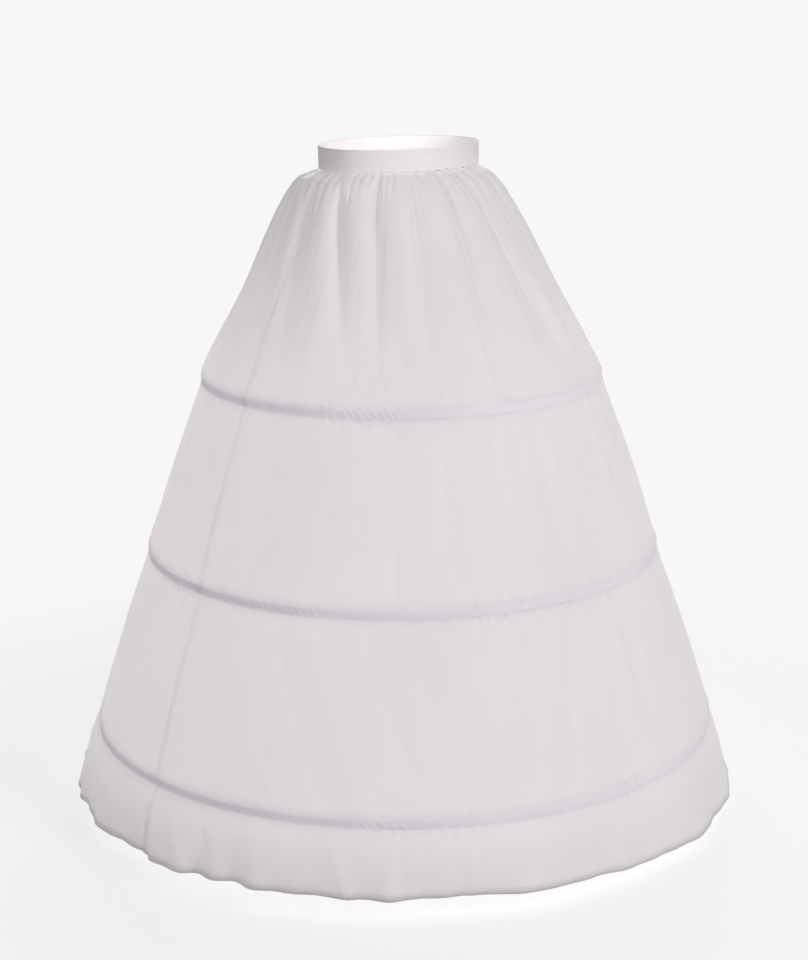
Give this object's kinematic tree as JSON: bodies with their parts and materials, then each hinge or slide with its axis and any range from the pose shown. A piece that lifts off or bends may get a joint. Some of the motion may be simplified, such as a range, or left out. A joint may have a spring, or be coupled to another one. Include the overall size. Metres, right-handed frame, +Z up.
{
  "type": "hoop skirt",
  "caption": "Floor-length hoop skirt: a gathered white cloth petticoat on a ribbed elastic waistband, held out in a bell by flat steel hoops in sewn tunnels.",
  "frame": {"origin": "centre of the waist opening, level with the top edge of the waistband", "axes": "+Z up along the wearer's body, -Y the wearer's front, +X the wearer's left"},
  "size_m": [0.969, 0.9687, 0.914],
  "materials": {
    "skirt_cloth": "smooth thin woven polyester, slightly see-through",
    "elastic": "woven elastic with fine ribs along its length",
    "casing_tape": "plain woven tape",
    "coated_steel": "flat spring steel with a white plastic coat",
    "joiner_steel": "bare crimped steel"
  },
  "bodies": {
    "root": {"waistband": "elastic", "front_panel": "skirt_cloth", "back_panel": "skirt_cloth", "upper_hoop": "coated_steel", "middle_hoop": "coated_steel", "lower_hoop": "coated_steel", "upper_joiner": "joiner_steel", "middle_joiner": "joiner_steel", "lower_joiner": "joiner_steel", "upper_casing": "casing_tape", "middle_casing": "casing_tape", "lower_casing": "casing_tape"}
  },
  "joints": []
}
